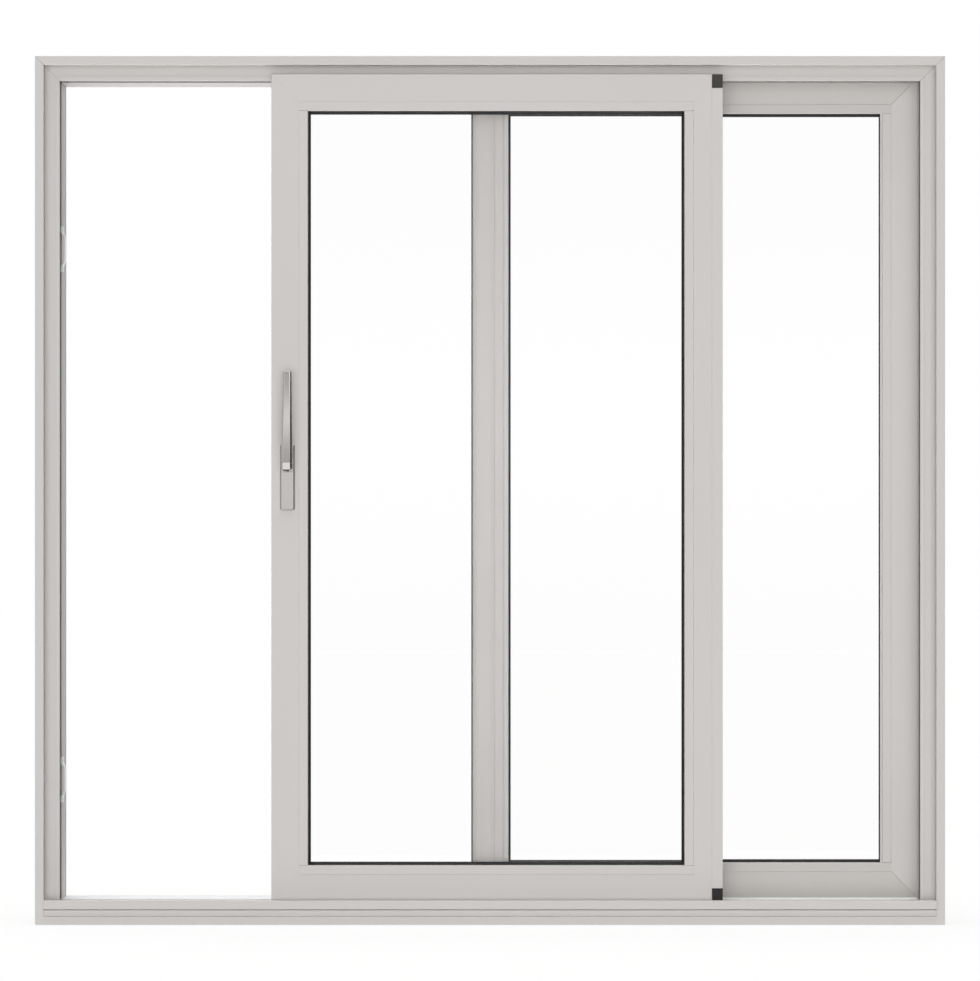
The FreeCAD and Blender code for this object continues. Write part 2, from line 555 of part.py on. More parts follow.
# Running gear: two roller carriages under the sash and two shoes in the head guide
def grooved_wheel(x, height):
    """Wheel with its axle, turned about a line along Y. The rail's head runs in its groove."""
    half, groove, rim = WHEEL_WIDTH / 2, WHEEL_GROOVE / 2, WHEEL_RADIUS + WHEEL_FLANGE
    section = [
        (0, -CARRIAGE_WIDTH / 2), (AXLE_RADIUS, -CARRIAGE_WIDTH / 2), (AXLE_RADIUS, -half), (rim, -half),
        (rim, -groove), (WHEEL_RADIUS, -groove), (WHEEL_RADIUS, groove), (rim, groove),
        (rim, half), (AXLE_RADIUS, half), (AXLE_RADIUS, CARRIAGE_WIDTH / 2), (0, CARRIAGE_WIDTH / 2),
    ]
    points = [FreeCAD.Vector(x + out, y_at(RAIL_CENTRE + along), height) for out, along in section]
    face = Part.Face(Part.makePolygon(points + points[:1]))
    return face.revolve(FreeCAD.Vector(x, 0, height), FreeCAD.Vector(0, 1, 0), 360)


def build_running_gear():
    body_bottom = SASH_BOTTOM + FLANGE_LAP
    body_top = SASH_TOP - FLANGE_LAP
    wheel_height = RAIL_TOP + WHEEL_GAP + WHEEL_RADIUS
    ends = (SASH_LEFT + FLANGE_LAP, SASH_RIGHT - FLANGE_LAP)
    outer = CARRIAGE_WIDTH / 2
    cheek = outer - CARRIAGE_WALL
    for name, end, turn in (("carriage_left", ends[0], 1), ("carriage_right", ends[1], -1)):
        middle = end + turn * CARRIAGE_INSET
        housing = [
            (RAIL_CENTRE - outer, CARRIAGE_BOTTOM), (RAIL_CENTRE - cheek, CARRIAGE_BOTTOM),
            (RAIL_CENTRE - cheek, body_bottom - CARRIAGE_WALL),
            (RAIL_CENTRE + cheek, body_bottom - CARRIAGE_WALL),
            (RAIL_CENTRE + cheek, CARRIAGE_BOTTOM), (RAIL_CENTRE + outer, CARRIAGE_BOTTOM),
            (RAIL_CENTRE + outer, body_bottom), (RAIL_CENTRE - outer, body_bottom),
        ]
        carriage = along_x(housing, middle - CARRIAGE_LENGTH / 2, middle + CARRIAGE_LENGTH / 2)
        for offset in (-WHEEL_PITCH / 2, WHEEL_PITCH / 2):
            carriage = carriage.fuse(grooved_wheel(middle + offset, wheel_height))
        save(carriage.removeSplitter(), name)

    roof = FRAME_HEIGHT - GUIDE_POCKET - GUIDE_WALL
    shoes = [block(middle - SHOE_LENGTH / 2, middle + SHOE_LENGTH / 2, GUIDE_CENTRE - SHOE_WIDTH / 2,
                   GUIDE_CENTRE + SHOE_WIDTH / 2, body_top, roof - SHOE_CLEARANCE)
             for middle in (ends[0] + SHOE_INSET, ends[1] - SHOE_INSET)]
    save(Part.makeCompound(shoes), "guide_shoes")


# Keeps: bent strips on pads in the left jamb's pocket
def build_keeps():
    floor = GUIDE_POCKET - HALF_WIDTH
    tab = floor + KEEP_TAB_STANDS
    hump = tab + KEEP_RISE
    front, back = POCKET_START + KEEP_CLEARANCE, POCKET_END - KEEP_CLEARANCE
    for name, middle in (("keep_lower", SASH_BOTTOM + KEEP_LOW_INSET),
                         ("keep_upper", SASH_TOP - KEEP_HIGH_INSET)):
        end = middle + KEEP_LENGTH / 2
        turn_out = end - KEEP_TAB
        level = turn_out - KEEP_RAMP
        half = [(tab, end), (tab, turn_out), (hump, level)]
        inner = [(hump - KEEP_STRIP, level), (tab - KEEP_STRIP, turn_out), (tab - KEEP_STRIP, end)]
        low_half = [(x, 2 * middle - z) for x, z in half[::-1]]
        low_inner = [(x, 2 * middle - z) for x, z in inner[::-1]]
        keep = along_y(half + low_half + low_inner + inner, front, back)
        for pad_low in (end - KEEP_TAB, 2 * middle - end):
            keep = keep.fuse(block(floor, tab - KEEP_STRIP, front + KEEP_PAD_INSET, back,
                                   pad_low, pad_low + KEEP_TAB))
        save(keep.removeSplitter(), name)


# Handle: a thin plate with rounded corners and a bevelled lever that tapers upwards
def rounded_plate(left, right, low, high, depth_from, depth_to, corner, bevel):
    """Upright plate with rounded corners and a bevel round its front."""
    plate = block(left, right, depth_from, depth_to, low, high)
    corners = [edge for edge in plate.Edges
               if abs(edge.tangentAt(edge.FirstParameter).y) > 0.99]
    plate = plate.makeFillet(corner, corners)
    front_edges = [edge for edge in plate.Edges if edge.BoundBox.YMax < y_at(depth_from) + TOLERANCE]
    return plate.makeChamfer(bevel, front_edges)


def build_handle():
    plate = rounded_plate(HANDLE_X - PLATE_WIDTH / 2, HANDLE_X + PLATE_WIDTH / 2,
                          PIVOT_HEIGHT - PLATE_BELOW, PIVOT_HEIGHT + PLATE_ABOVE,
                          SASH_FRONT - PLATE_THICK, SASH_FRONT, PLATE_CORNER, PLATE_BEVEL)

    def turned(radius, depth_from, depth_to):
        return Part.makeCylinder(radius, depth_to - depth_from,
                                 FreeCAD.Vector(HANDLE_X, y_at(depth_from), PIVOT_HEIGHT),
                                 FreeCAD.Vector(0, 1, 0))

    hole = turned(NECK_RADIUS + NECK_CLEARANCE, SASH_FRONT - PLATE_THICK, SASH_FRONT)
    save(plate.cut(hole), "handle_plate")

    # Side view of the lever: its foot comes straight out of the plate and turns up into the grip
    front = SASH_FRONT - LEVER_OUT
    back = front + LEVER_THICK
    foot = SASH_FRONT - PLATE_THICK - LEVER_GAP
    foot_top = LEVER_BOTTOM + LEVER_BOTTOM_WIDTH
    crease_z, elbow_z = LEVER_BOTTOM + LEVER_FOOT_HEIGHT, foot_top + LEVER_ELBOW
    middle_z = (crease_z + LEVER_TOP) / 2
    grip_front, grip_back = front + LEVER_BOW, back + LEVER_BOW
    slant = math.sqrt(0.5)
    elbow_short = LEVER_ELBOW * (1 - slant)
    side = [
        (foot, LEVER_BOTTOM), (grip_front + LEVER_FOOT_SLANT, LEVER_BOTTOM), (grip_front, crease_z),
        ((front, middle_z), (grip_front, LEVER_TOP)), (grip_back, LEVER_TOP),
        ((back, middle_z), (grip_back, elbow_z)),
        ((grip_back + elbow_short, foot_top + elbow_short), (grip_back + LEVER_ELBOW, foot_top)),
        (foot, foot_top),
    ]
    slab = along_x(side, HANDLE_X - LEVER_BOTTOM_WIDTH, HANDLE_X + LEVER_BOTTOM_WIDTH)
    foot_half, top_half = LEVER_BOTTOM_WIDTH / 2, LEVER_TOP_WIDTH / 2
    foot_left, foot_right = HANDLE_X - foot_half, HANDLE_X + foot_half
    top_x = HANDLE_X + LEVER_LEAN
    top_left, top_right = top_x - top_half, top_x + top_half
    straight_outline = [
        (foot_left, LEVER_BOTTOM), (foot_right, LEVER_BOTTOM), (top_right, LEVER_TOP), (top_left, LEVER_TOP),
    ]
    foot_short, top_short = LEVER_FOOT_ROUND * (1 - slant), LEVER_TOP_ROUND * (1 - slant)
    rounded_outline = [
        (foot_right - LEVER_FOOT_ROUND, LEVER_BOTTOM),
        ((foot_right - foot_short, LEVER_BOTTOM + foot_short),
         (foot_right, LEVER_BOTTOM + LEVER_FOOT_ROUND)),
        (top_right, LEVER_TOP - LEVER_TOP_ROUND),
        ((top_right - top_short, LEVER_TOP - top_short), (top_right - LEVER_TOP_ROUND, LEVER_TOP)),
        (top_left + LEVER_TOP_ROUND, LEVER_TOP),
        ((top_left + top_short, LEVER_TOP - top_short), (top_left, LEVER_TOP - LEVER_TOP_ROUND)),
        (foot_left, LEVER_BOTTOM + LEVER_FOOT_ROUND),
        ((foot_left + foot_short, LEVER_BOTTOM + foot_short), (foot_left + LEVER_FOOT_ROUND, LEVER_BOTTOM)),
    ]
    lever = slab.common(along_y(straight_outline, front - 1, foot + 1))
    front_edges = [edge for edge in lever.Edges if edge.Length > LEVER_LENGTH / 2
                   and edge.CenterOfMass.y < y_at(grip_front)]
    lever = lever.makeChamfer(LEVER_BEVEL, front_edges)
    lever = lever.common(along_y(rounded_outline, front - 1, foot + 1))
    neck = turned(NECK_RADIUS, foot, SASH_FRONT - NECK_SEAT)
    boss = turned(BOSS_RADIUS, foot - BOSS_SEAT, SASH_FRONT - PLATE_THICK - BOSS_CLEARANCE)
    save(lever.fuse([neck, boss]).removeSplitter(), "handle_lever")


os.makedirs("parts", exist_ok=True)
build_outer_frame()
build_threshold()
build_fixed_panel()
build_sash()
build_interlock_cover()
build_running_gear()
build_keeps()
build_handle()
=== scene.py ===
"""Looks of a glass sliding patio door: its finishes, seals, fixings, shaped lever, light and camera."""

import math

import bmesh
import bpy
from mathutils import Matrix, Vector


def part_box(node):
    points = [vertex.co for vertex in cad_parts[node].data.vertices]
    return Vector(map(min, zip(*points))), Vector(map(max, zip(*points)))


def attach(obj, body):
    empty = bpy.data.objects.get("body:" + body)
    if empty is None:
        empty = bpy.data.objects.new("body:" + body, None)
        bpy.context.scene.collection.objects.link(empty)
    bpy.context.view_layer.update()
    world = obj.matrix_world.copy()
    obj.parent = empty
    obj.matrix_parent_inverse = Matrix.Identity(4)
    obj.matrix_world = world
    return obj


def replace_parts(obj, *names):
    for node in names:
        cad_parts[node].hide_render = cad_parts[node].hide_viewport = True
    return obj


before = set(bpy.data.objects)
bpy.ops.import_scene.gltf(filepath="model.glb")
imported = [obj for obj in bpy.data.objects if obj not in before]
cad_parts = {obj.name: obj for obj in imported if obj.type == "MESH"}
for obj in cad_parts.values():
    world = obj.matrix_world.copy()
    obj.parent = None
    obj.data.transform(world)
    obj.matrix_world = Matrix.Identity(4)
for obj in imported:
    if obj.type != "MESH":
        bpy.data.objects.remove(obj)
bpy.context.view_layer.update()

MM = 0.001
QUARTER = math.pi / 2

# Where the camera stands: level, square to the door and far enough back for straight lines
VIEW_DISTANCE = 12.0       # from the front of the frame's rim
VIEW_HEIGHT = 1.05
VIEW_SPAN = 2.371          # height of the picture at the rim
SENSOR = 36.0

SIGHT_END = 100.0          # how far the camera sees

# Light on matt surfaces by axis: its strength from the low and the high side, and how
# sharply it falls off towards the other axes
LIGHT = {"X": (0.4, 0.0, 2), "Y": (4.45, 2.9, 10), "Z": (6.2, 5.7, 10)}
WHITE = (1, 1, 1, 1)
FLOOR_SIZE = 60.0
FLOOR_TONE = (0.88, 0.88, 0.87, 1)
FLOOR_SHADE = 0.2          # how much of the floor's own shading shows over the backdrop's white

# Studio cards, which stand in front of the door's middle plane
CARD_TOP = 4.0             # height at which a card's ramp of tones ends
CARD_LOW = 0.01
SIDE_CARD_X = 3.0
SIDE_CARD_REACH = 2.6
SIDE_CARD_TOP = 3.4
FRONT_CARD_HALF = 2.6
FRONT_CARD_Y = -6.0

# Finishes
GREY = (0.59, 0.565, 0.545, 1)
GREY_SHADE = (0.565, 0.54, 0.52, 1)
EDGE_EASE = 0.8 * MM       # radius that softens the edges of an extrusion
FINE_RELIEF = 0.2 * MM     # height of a skin or a grain
RIB_PITCH = 8.0 * MM       # of the threshold plate
ALONG_X = (1.0, 80.0, 80.0)
ALONG_Z = (80.0, 80.0, 1.0)

# Lever: a bowed grip that tapers from its foot to its tip, on a turned boss
FOOT_WIDTH = 27.0 * MM
TIP_WIDTH = 21.0 * MM
LEVER_LEAN = 0.8 * MM      # how far the tip stands to the right of the boss
LEVER_BOW = 5.5 * MM       # how far its middle stands in front of its ends
GRIP_THICK = 9.0 * MM
PAD_HEIGHT = 22.0 * MM     # the slanted pad at its foot
PAD_SLANT = 10.0 * MM
UNDER_HEIGHT = 5.6 * MM    # the steeper facet under that pad
UNDER_SLANT = 2.2 * MM
FOOT_CORNER = 5.5 * MM
TIP_CORNER = 2.0 * MM
ELBOW = 7.0 * MM           # inner radius where the foot meets the grip
FACE_EDGE = 3.4 * MM       # how far its left edge stands behind the face
FACET_DROP = 0.5 * MM      # how far its left facet's inner edge does
FACET_FOOT, FACET_TIP = 2.6 * MM, 5.0 * MM      # width of the left facet
STRIP_FOOT, STRIP_TIP = 0.8 * MM, 2.8 * MM      # width of the bright strip
STEEP_FOOT, STEEP_TIP = 6.2 * MM, 3.2 * MM      # width of the steep facet
STRIP_SLOPE = 0.35
STEEP_SLOPE = 0.9
SECTION_RADII = [radius * MM for radius in (1.0, 1.0, 0.6, 0.3, 0.3, 0.8, 1.0)]
JUST_BELOW = 0.01 * MM     # where the foot's last section is taken
BOSS_RADIUS = 14.5 * MM
BOSS_BELOW = 0.5 * MM      # how far the boss shows below the foot
BOSS_DEPTH = 10.5 * MM
BOSS_EDGE = 0.8 * MM
BOSS_SIDES = 48
NECK_RADIUS = 9.0 * MM
GAP_TO_PLATE = 0.5 * MM    # from the plate to the boss
FOOT_TO_PLATE = 5.0 * MM   # from the plate to the back of the foot

# Pile strips in the pocket behind the frame's lip
POCKET_DEEP = 9.0 * MM     # from the reveal to the bottom of the pocket
STRIP_BACK = 70.0 * MM     # depth at which the pocket ends
STRIP_THICK = 5.0 * MM
TUFT_LONG = 8.2 * MM
TUFT_PITCH = 2.6 * MM
TUFT_RADIUS = 1.5 * MM
TUFT_TAPER = 0.6           # its tip's radius as a share of its foot's
CORE_SHARE = 0.9           # the core's height as a share of a tuft's
KEEP_MARGIN = 2.0 * MM

# Pale bead along the foot of the fixed panel, whose near-white tone is a painted highlight for the lit
# sliver of threshold there
BEAD_HIGH = 3.0 * MM
BEAD_OUT = 3.2 * MM
BEAD_STEPS = 6

# Small fixings
SCREW_SIDES = 24
SCREW_RADIUS = 3.6 * MM
SCREW_RISE = 0.6 * MM
CROWN_RADIUS = 2.6 * MM
CROWN_RISE = 0.5 * MM
RECESS_LONG = 3.6 * MM
RECESS_WIDE = 0.8 * MM
RECESS_CUTTER = 2.0 * MM   # height of the bars that cut the recess
RECESS_LIFT = 0.9 * MM     # from the head's disc to the middle of those bars
KEEP_TAB = 4.9 * MM        # how far a keep's screw heads lie behind its outer side
KEEP_INSET = 7.5 * MM      # from a keep's ends to its screws
PLATE_INSET = 12.0 * MM    # from the face plate's ends to its screws
PLATE_SCREWS = 8


# Shader sheets
class Wire:
    """A shader output that takes arithmetic: a sum or product of wires adds its own nodes."""

    def __init__(self, sheet, socket):
        self.sheet = sheet
        self.socket = socket

    def other(self, name):
        return Wire(self.sheet, self.socket.node.outputs[name])

    def math(self, operation, *values):
        return self.sheet.make("ShaderNodeMath", {"operation": operation}, dict(enumerate(values)))

    def __add__(self, value):
        return self.math("ADD", self, value)

    def __radd__(self, value):
        return self.math("ADD", value, self)

    def __mul__(self, value):
        return self.math("MULTIPLY", self, value)

    def __rmul__(self, value):
        return self.math("MULTIPLY", value, self)

    def __truediv__(self, value):
        return self.math("DIVIDE", self, value)

    def __rtruediv__(self, value):
        return self.math("DIVIDE", value, self)

    def __pow__(self, value):
        return self.math("POWER", self, value)

    def __rpow__(self, value):
        return self.math("POWER", value, self)

    def at_least(self, value):
        return self.math("MAXIMUM", self, value)

    def above(self, value):
        return self.math("GREATER_THAN", self, value)

    def wave(self):
        return self.math("SINE", self)

    def size(self):
        return self.math("ABSOLUTE", self)


class Sheet:
    """A node tree that is filled by calls. A node's settings are set before its sockets."""

    def __init__(self, tree):
        self.tree = tree
        tree.nodes.clear()

    def make(self, kind, settings=None, values=None, out=0):
        node = self.tree.nodes.new(kind)
        for name, value in (settings or {}).items():
            if name == "stops":
                self.set_stops(node.color_ramp, value)
            else:
                setattr(node, name, value)
        for name, value in (values or {}).items():
            if isinstance(value, Wire):
                self.tree.links.new(value.socket, node.inputs[name])
            else:
                node.inputs[name].default_value = value
        return Wire(self, node.outputs[out]) if node.outputs else None

    @staticmethod
    def set_stops(ramp, stops):
        while len(ramp.elements) < len(stops):
            ramp.elements.new(1.0)
        for element, (place, colour) in zip(ramp.elements, stops):
            element.position = place
            element.color = colour

    def place(self, scale=(1, 1, 1)):
        """Object coordinates, stretched by a scale for each axis."""
        object_place = self.make("ShaderNodeTexCoord", out="Object")
        return self.make("ShaderNodeMapping", values={"Vector": object_place, "Scale": scale})

    def noise(self, place, scale, detail=2.0, roughness=0.5):
        return self.make("ShaderNodeTexNoise", values={
            "Vector": place, "Scale": scale, "Detail": detail, "Roughness": roughness})

    def spread(self, value, low, high):
        """A value from 0 to 1 spread over low to high."""
        return value * (high - low) + low

    def blend(self, share, first, second):
        first_socket, second_socket, result = 6, 7, 2
        return self.make("ShaderNodeMix", {"data_type": "RGBA"},
                         {0: share, first_socket: first, second_socket: second}, out=result)

    def relief(self, height, strength, distance, normal=None):
        values = {"Height": height, "Strength": strength, "Distance": distance}
        if normal is not None:
            values["Normal"] = normal
        return self.make("ShaderNodeBump", values=values)

    def eased_edges(self, radius):
        return self.make("ShaderNodeBevel", {"samples": 6}, {"Radius": radius})


def finish(name, build, lets_light_through=False):
    """A material whose build function returns the values of the main shader's sockets. One that
    lets light through throws no shadow, and surfaces behind it are lit as if it weren't there."""
    material = bpy.data.materials.new(name)
    material.use_nodes = True
    sheet = Sheet(material.node_tree)
    surface = sheet.make("ShaderNodeBsdfPrincipled", values=build(sheet))
    if lets_light_through:
        path = sheet.make("ShaderNodeLightPath", out="Is Shadow Ray")
        bounced = path.other("Is Diffuse Ray").at_least(path.other("Is Glossy Ray"))
        clear = sheet.make("ShaderNodeBsdfTransparent")
        surface = sheet.make("ShaderNodeMixShader", values={
            0: path.at_least(bounced), 1: surface, 2: clear})
    sheet.make("ShaderNodeOutputMaterial", values={"Surface": surface})
    return material


def painted_profile(dark, light):
    """Smooth extruded frame profile: a slow drift of tone, a fine skin and eased edges."""
    def build(sheet):
        drift = sheet.noise(sheet.place(), 1.7)
        skin = sheet.noise(sheet.place(), 900.0)
        return {
            "Base Color": sheet.blend(drift, dark, light),
            "Roughness": sheet.spread(drift, 0.38, 0.46),
            "Specular IOR Level": 0.35,
            "Normal": sheet.relief(skin, 0.05, FINE_RELIEF, sheet.eased_edges(EDGE_EASE)),
        }
    return build


def clear_glass(sheet):
    """Coated float glass with next to no reflection and the faintest drift of tint."""
    drift = sheet.noise(sheet.place((1.0, 1.0, 0.2)), 2.5)
    return {
        "Base Color": sheet.blend(drift, (0.998, 1.0, 0.999, 1), WHITE),
        "Roughness": 0.0,
        "IOR": 1.45,
        "Specular IOR Level": 0.04,
        "Transmission Weight": 1.0,
    }


def black_rubber(sheet):
    grain = sheet.noise(sheet.place(), 700.0, 3.0)
    bloom = sheet.noise(sheet.place(), 6.0)
    return {
        "Base Color": sheet.blend(bloom, (0.016, 0.016, 0.015, 1), (0.026, 0.025, 0.024, 1)),
        "Roughness": sheet.spread(bloom, 0.5, 0.62),
        "Specular IOR Level": 0.25,
        "Normal": sheet.relief(grain, 0.15, FINE_RELIEF),
    }


def grey_pile(sheet):
    """Brushed pile of a weather strip, with its hairs running across the strip."""
    hairs = sheet.noise(sheet.place((40.0, 40.0, 1.0)), 60.0, 3.0)
    return {
        "Base Color": sheet.blend(hairs, (0.13, 0.127, 0.12, 1), (0.22, 0.215, 0.205, 1)),
        "Roughness": 0.9,
        "Specular IOR Level": 0.1,
        "Normal": sheet.relief(hairs, 0.5, 0.5 * MM),
    }


def pale_bead_painted_highlight(sheet):
    """Near-white bead with slow waves in its tone, roughness and relief: a painted highlight for the lit
    sliver of threshold in front of the fixed panel.
    """
    waves = sheet.noise(sheet.place((1.0, 4.0, 4.0)), 30.0, 2.0)
    return {
        "Base Color": sheet.blend(waves, (0.93, 0.93, 0.92, 1), (0.96, 0.96, 0.95, 1)),
        "Roughness": sheet.spread(waves, 0.3, 0.4),
        "Normal": sheet.relief(waves, 0.2, 0.3 * MM),
    }


def dark_spacer(sheet):
    grain = sheet.noise(sheet.place(), 400.0)
    return {
        "Base Color": sheet.blend(grain, (0.018, 0.018, 0.017, 1), (0.03, 0.03, 0.029, 1)),
        "Roughness": 0.6,
        "Specular IOR Level": 0.2,
        "Normal": sheet.relief(grain, 0.1, FINE_RELIEF),
    }


def moulded_plastic(dark, light):
    def build(sheet):
        grain = sheet.noise(sheet.place(), 1200.0, 3.0)
        drift = sheet.noise(sheet.place(), 30.0)
        return {
            "Base Color": sheet.blend(drift, dark, light),
            "Roughness": sheet.spread(drift, 0.5, 0.6),
            "Specular IOR Level": 0.3,
            "Normal": sheet.relief(grain, 0.25, FINE_RELIEF, sheet.eased_edges(EDGE_EASE)),
        }
    return build


def ribbed_tread(sheet):
    """Pale anodised threshold plate with fine ribs that run along the opening."""
    across = sheet.make("ShaderNodeSeparateXYZ", values={0: sheet.place()}).other("Y")
    ribs = (across * (2 * math.pi / RIB_PITCH)).wave().at_least(0.0)
    scuff = sheet.noise(sheet.place((2.0, 60.0, 60.0)), 4.0, 4.0)
    return {
        "Base Color": sheet.blend(scuff, (0.86, 0.86, 0.85, 1), (0.92, 0.92, 0.91, 1)),
        "Metallic": 0.1,
        "Roughness": sheet.spread(scuff, 0.32, 0.45),
        "Normal": sheet.relief(ribs, 0.6, 0.6 * MM),
    }


def drawn_metal(dark, light, grain_scale, rough_low, rough_high, metallic=1.0):
    """Metal with fine lines along one axis, as drawn, rolled or brushed."""
    def build(sheet):
        lines = sheet.noise(sheet.place(grain_scale), 12.0, 4.0, 0.6)
        return {
            "Base Color": sheet.blend(lines, dark, light),
            "Metallic": metallic,
            "Roughness": sheet.spread(lines, rough_low, rough_high),
            "Normal": sheet.relief(lines, 0.08, FINE_RELIEF, sheet.eased_edges(EDGE_EASE)),
        }
    return build


FINISHES = {
    "profile": finish("frame_grey", painted_profile(GREY_SHADE, GREY)),
    "glass": finish("clear_glass", clear_glass, lets_light_through=True),
    "seal": finish("glazing_rubber", black_rubber),
    "spacer": finish("warm_edge_spacer", dark_spacer),
    "cap": finish("dark_end_cap", moulded_plastic((0.038, 0.036, 0.031, 1), (0.052, 0.049, 0.042, 1))),
    "tread": finish("threshold_plate", ribbed_tread),
    "aluminium": finish("drawn_aluminium", drawn_metal(
        (0.6, 0.6, 0.59, 1), (0.7, 0.7, 0.69, 1), ALONG_X, 0.28, 0.4)),
    "steel": finish("plated_steel", drawn_metal(
        (0.55, 0.55, 0.54, 1), (0.66, 0.66, 0.65, 1), ALONG_Z, 0.25, 0.38)),
    "nylon": finish("dark_nylon", moulded_plastic((0.06, 0.06, 0.06, 1), (0.09, 0.09, 0.09, 1))),
    "handle_metal": finish("satin_nickel", drawn_metal(
        (0.66, 0.64, 0.61, 1), (0.72, 0.7, 0.67, 1), ALONG_Z, 0.16, 0.2)),
}
PILE = finish("weather_pile", grey_pile)
# Near-white bead finish: painted highlight of the lit threshold sliver
PALE_BEAD_HIGHLIGHT = finish("threshold_highlight_bead", pale_bead_painted_highlight)
PLATE = finish("satin_plate", drawn_metal(
    (0.67, 0.65, 0.62, 1), (0.71, 0.69, 0.66, 1), ALONG_Z, 0.2, 0.26))
# Darker copy of the frame paint for the fixed panel's top and bottom rails and beads: painted shade of
# the recess they sit in
RAIL_PAINTED_SHADE = finish("rail_grey_painted_shade", painted_profile(
    (0.53, 0.515, 0.49, 1), (0.555, 0.54, 0.515, 1)))
# Darker copy of the end caps' plastic for the bottom cap: painted shade
LOW_CAP_PAINTED_SHADE = finish("low_cap_painted_shade", moulded_plastic((0.02, 0.018, 0.015, 1), (0.03, 0.027, 0.023, 1)))
OWN_FINISHES = {
    "meeting_seal": PILE, "interlock_cap_bottom": LOW_CAP_PAINTED_SHADE, "handle_plate": PLATE,
    "fixed_rail_top": RAIL_PAINTED_SHADE, "fixed_rail_bottom": RAIL_PAINTED_SHADE,
    "fixed_bead_top": RAIL_PAINTED_SHADE, "fixed_bead_bottom": RAIL_PAINTED_SHADE,
}


def dress_nodes():
    """Every carried-over piece gets the finish of its slot, or one of its own."""
    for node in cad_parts.values():
        for slot in node.material_slots:
            slot.material = FINISHES[slot.material.name]
    for name, material in OWN_FINISHES.items():
        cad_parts[name].material_slots[0].material = material


# Mesh helpers
def mesh_piece(name, vertices, faces, material, body, crease):
    """A closed smooth piece with its doubles merged, and sharp where it turns by more than
    crease degrees."""
    mesh = bpy.data.meshes.new(name)
    mesh.from_pydata(vertices, [], faces)
    sculpt = bmesh.new()
    sculpt.from_mesh(mesh)
    bmesh.ops.remove_doubles(sculpt, verts=sculpt.verts, dist=1e-6)
    bmesh.ops.recalc_face_normals(sculpt, faces=sculpt.faces)
    for face in sculpt.faces:
        face.smooth = True
    sculpt.to_mesh(mesh)
    sculpt.free()
    mesh.set_sharp_from_angle(angle=math.radians(crease))
    mesh.materials.append(material)
    piece = bpy.data.objects.new(name, mesh)
    bpy.context.scene.collection.objects.link(piece)
    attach(piece, body)
    return piece


def rounded(points, radii, steps=3):
    """A closed outline of 2-D points whose corners are turned into arcs of these radii."""
    outline = []
    for index, (corner, radius) in enumerate(zip(points, radii)):
        here = Vector(corner)
        before = (Vector(points[index - 1]) - here).normalized()
        after = (Vector(points[(index + 1) % len(points)]) - here).normalized()
        half_turn = before.angle(after) / 2
        centre = here + (before + after).normalized() * (radius / math.sin(half_turn))
        start = here + before * (radius / math.tan(half_turn)) - centre
        sweep = math.copysign(math.pi - 2 * half_turn, after.cross(before))
        for step in range(steps + 1):
            turned = Matrix.Rotation(sweep * step / steps, 2) @ start
            outline.append(tuple(centre + turned))
    return outline


def loft(loops):
    """Vertices and faces of a closed skin through loops of as many points each."""
    count = len(loops[0])
    vertices = [point for loop in loops for point in loop]
    faces = [tuple(range(count)), tuple((len(loops) - 1) * count + i for i in range(count))]
    for row in range(len(loops) - 1):
        for column in range(count):
            following = (column + 1) % count
            faces.append((row * count + column, row * count + following,
                          (row + 1) * count + following, (row + 1) * count + column))
    return vertices, faces


# The lever
def lever_heights(height):
    """Heights of the lever's sections above its bottom, closer together where it turns."""
    def turns(steps, first=0):
        return [QUARTER * step / steps for step in range(first, steps + 1)]

    grip_start, grip_end, grip_steps = FOOT_WIDTH + ELBOW, height - TIP_CORNER, 30
    corner = [FOOT_CORNER * (1 - math.cos(turn)) for turn in turns(6)]
    elbow = [FOOT_WIDTH + ELBOW * (1 - math.cos(turn)) for turn in turns(5)]
    grip = [grip_start + (grip_end - grip_start) * step / grip_steps
            for step in range(1, grip_steps + 1)]
    tip = [grip_end + TIP_CORNER * math.sin(turn) for turn in turns(4, 1)]
    return sorted(corner + [UNDER_HEIGHT, PAD_HEIGHT / 2, PAD_HEIGHT] + elbow + grip + tip)


def arc_drop(reach, radius):
    """How far a quarter round has dropped where it has this much reach left to its end."""
    beyond = max(radius - max(reach, 0.0), 0.0)
    return radius - math.sqrt(max(radius ** 2 - beyond ** 2, 0.0))


def lever_section(above, height, front, foot_back, centre):
    """Outline of the lever at one height: facet, face, bright strip and steep facet."""
    share = above / height
    half = (FOOT_WIDTH + (TIP_WIDTH - FOOT_WIDTH) * share) / 2
    tip_drop = arc_drop(height - above, TIP_CORNER)
    narrowed = arc_drop(above, FOOT_CORNER) + tip_drop
    middle = centre + LEVER_LEAN * share
    left, right = middle - half + narrowed, middle + half - narrowed
    grip_middle = (PAD_HEIGHT + height) / 2
    offset = min(abs(above - grip_middle) / (height - grip_middle), 1.0)
    bowed = LEVER_BOW * offset ** 2
    slant = PAD_SLANT * max(PAD_HEIGHT - above, 0.0) / PAD_HEIGHT
    slant += UNDER_SLANT * max(UNDER_HEIGHT - above, 0.0) / UNDER_HEIGHT
    face = front + bowed + slant + tip_drop / 2
    back = front + bowed + GRIP_THICK + arc_drop(above - FOOT_WIDTH, ELBOW)
    if above < FOOT_WIDTH:
        back = foot_back
    facet = FACET_FOOT + (FACET_TIP - FACET_FOOT) * share
    strip = STRIP_FOOT + (STRIP_TIP - STRIP_FOOT) * share ** 2
    steep = STEEP_FOOT + (STEEP_TIP - STEEP_FOOT) * share
    strip_end = face + STRIP_SLOPE * strip
    section = [
        (left, back), (left, face + FACE_EDGE), (left + facet, face + FACET_DROP),
        (right - steep - strip, face), (right - steep, strip_end),
        (right, strip_end + STEEP_SLOPE * steep), (right, back),
    ]
    return rounded(section, SECTION_RADII)


